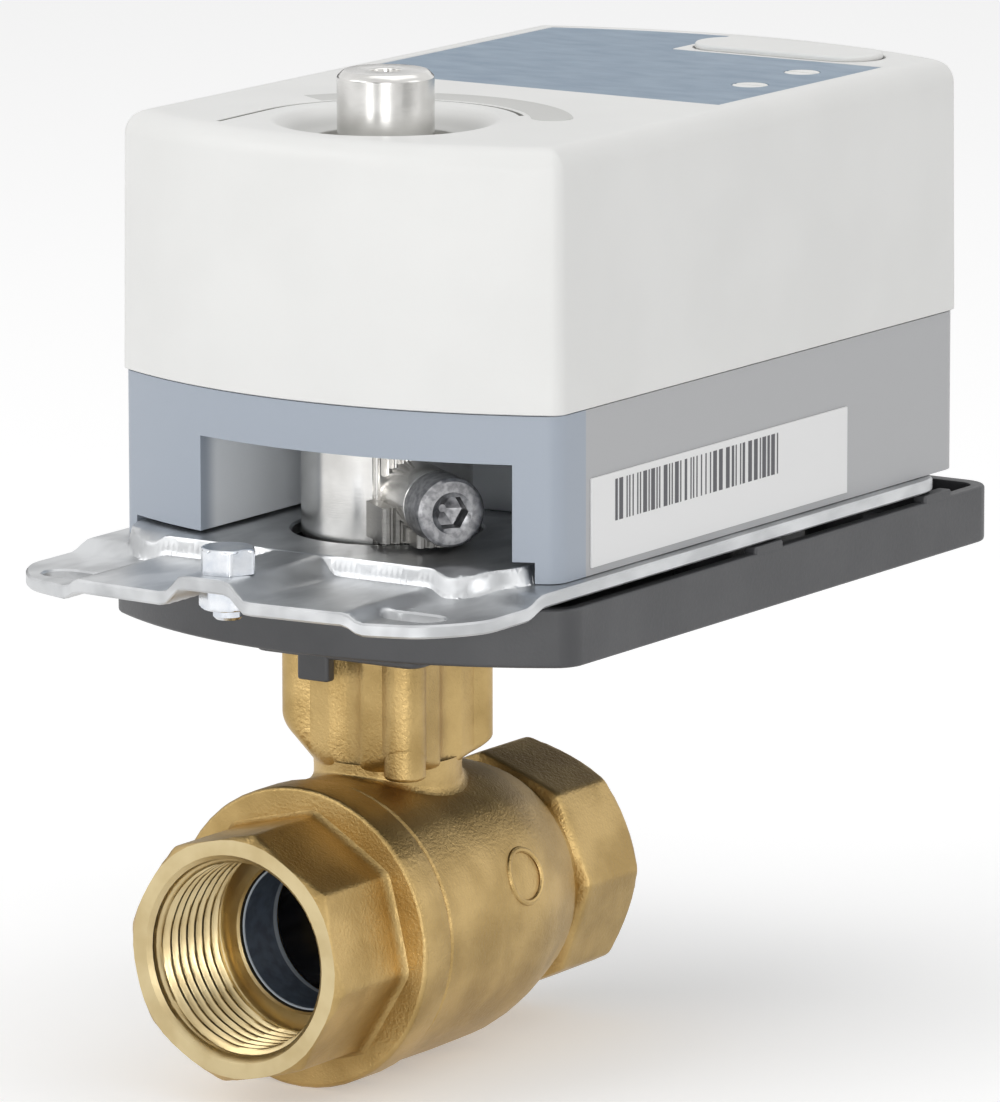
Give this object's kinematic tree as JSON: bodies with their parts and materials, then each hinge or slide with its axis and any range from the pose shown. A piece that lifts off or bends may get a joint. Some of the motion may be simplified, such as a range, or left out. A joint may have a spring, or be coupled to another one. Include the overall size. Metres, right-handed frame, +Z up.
{
  "type": "motorised ball valve",
  "caption": "Threaded brass ball valve turned by a gear actuator in a white and grey case, on a slotted sheet bracket and a black tray.",
  "frame": {"origin": "centre of the inlet port's end face, on the pipe axis", "axes": "+Y along the flow from inlet to outlet, +Z up the stem to the actuator, +X to the right of the flow"},
  "size_m": [0.0724, 0.144, 0.1321],
  "materials": {
    "cast_brass": "blasted casting",
    "turned_brass": "turned",
    "seal_white": "white ptfe",
    "seat_dark": "filled ptfe",
    "plated_ball": "polished",
    "stem_steel": "turned",
    "black_rubber": "matt",
    "tray_black": "fine grain",
    "zinc_sheet": "galvanised",
    "zinc_screws": "zinc plated",
    "hub_steel": "turned",
    "plate_steel": "rolled",
    "gear_cream": "moulded acetal",
    "gear_blue": "moulded acetal",
    "coil_copper": "enamelled winding",
    "magnet_dark": "ferrite",
    "case_white": "fine texture",
    "case_grey": "satin",
    "label_blue": "printed film",
    "label_white": "printed film",
    "scale_grey": "satin",
    "board_green": "solder mask",
    "part_dark": "moulded",
    "terminal_green": "moulded",
    "trimmer_blue": "moulded",
    "dial_white": "moulded",
    "spring_steel": "drawn"
  },
  "bodies": {
    "housing": {"valve_body": "cast_brass", "end_cap": "cast_brass", "body_seal": "seal_white", "inlet_seat": "seat_dark", "outlet_seat": "seat_dark", "thrust_washer": "seal_white", "packing": "seal_white", "gland_nut": "turned_brass", "mounting_tray": "tray_black", "tray_screws": "zinc_screws", "bracket_plate": "zinc_sheet", "bracket_bolt": "zinc_screws", "bracket_nut": "zinc_screws", "mounting_screws": "zinc_screws", "lower_bush": "turned_brass", "upper_bush": "turned_brass", "base_housing": "case_grey", "cover": "case_white", "cover_seal": "black_rubber", "cover_screws": "zinc_screws", "lower_gear_plate": "plate_steel", "upper_gear_plate": "plate_steel", "plate_pillars": "plate_steel", "plate_screws": "zinc_screws", "gear_axles": "stem_steel", "motor_can": "plate_steel", "motor_lid": "plate_steel", "motor_coil": "coil_copper", "motor_screws": "zinc_screws", "limit_switches": "part_dark", "circuit_board": "board_green", "board_spacers": "seal_white", "board_screws": "zinc_screws", "board_parts": "part_dark", "terminal_block": "terminal_green", "dial_trimmers": "trimmer_blue", "release_spring": "spring_steel", "release_post": "case_grey", "top_label": "label_blue", "side_label": "label_white", "scale_ring": "scale_grey", "cable_grommet": "black_rubber"},
    "output": {"output_hub": "hub_steel", "ball": "plated_ball", "stem": "stem_steel", "stem_seals": "black_rubber", "shaft_adapter": "stem_steel", "clamp_jaw": "stem_steel", "clamp_screw": "hub_steel", "output_gear": "plate_steel", "cam_disc": "gear_cream"},
    "first_gear": {"first_gear": "gear_cream"},
    "second_gear": {"second_gear": "gear_blue"},
    "third_gear": {"third_gear": "gear_cream"},
    "rotor": {"motor_rotor": "magnet_dark", "motor_pinion": "turned_brass"},
    "front_dial": {"front_switch_dial": "dial_white"},
    "back_dial": {"back_switch_dial": "dial_white"},
    "release": {"release_button": "case_white"}
  },
  "joints": [
    {"name": "valve_turn", "type": "hinge", "parent": "housing", "child": "output", "pos_m": [0, 0.03625, 0.049], "axis": [0, 0, 1], "range_deg": [0, 90]},
    {"name": "first_gear_spin", "type": "hinge", "parent": "housing", "child": "first_gear", "pos_m": [0, 0.06625, 0.069], "axis": [0, 0, 1], "range_deg": [-360, 0]},
    {"name": "second_gear_spin", "type": "hinge", "parent": "housing", "child": "second_gear", "pos_m": [0.01376, 0.07589, 0.069], "axis": [0, 0, 1], "range_deg": [0, 1080]},
    {"name": "third_gear_spin", "type": "hinge", "parent": "housing", "child": "third_gear", "pos_m": [0.01126, 0.09007, 0.069], "axis": [0, 0, 1], "range_deg": [-3240, 0]},
    {"name": "rotor_spin", "type": "hinge", "parent": "housing", "child": "rotor", "pos_m": [0.00035, 0.09637, 0.069], "axis": [0, 0, 1], "range_deg": [0, 8100]},
    {"name": "front_dial_turn", "type": "hinge", "parent": "housing", "child": "front_dial", "pos_m": [0.0232, 0.08925, 0.099], "axis": [0, 0, 1], "range_deg": [0, 90]},
    {"name": "back_dial_turn", "type": "hinge", "parent": "housing", "child": "back_dial", "pos_m": [0.0228, 0.10325, 0.099], "axis": [0, 0, 1], "range_deg": [0, 90]},
    {"name": "release_press", "type": "slide", "parent": "housing", "child": "release", "axis": [0, 0, 1], "range_m": [-0.001, 0], "stiffness_N_per_m": 600, "springref_m": 0.001, "deforming": ["release_spring"]}
  ],
  "couplings": [
    {"joint": "first_gear_spin", "follows": "valve_turn", "ratio": -4},
    {"joint": "second_gear_spin", "follows": "valve_turn", "ratio": 12},
    {"joint": "third_gear_spin", "follows": "valve_turn", "ratio": -36},
    {"joint": "rotor_spin", "follows": "valve_turn", "ratio": 90}
  ]
}
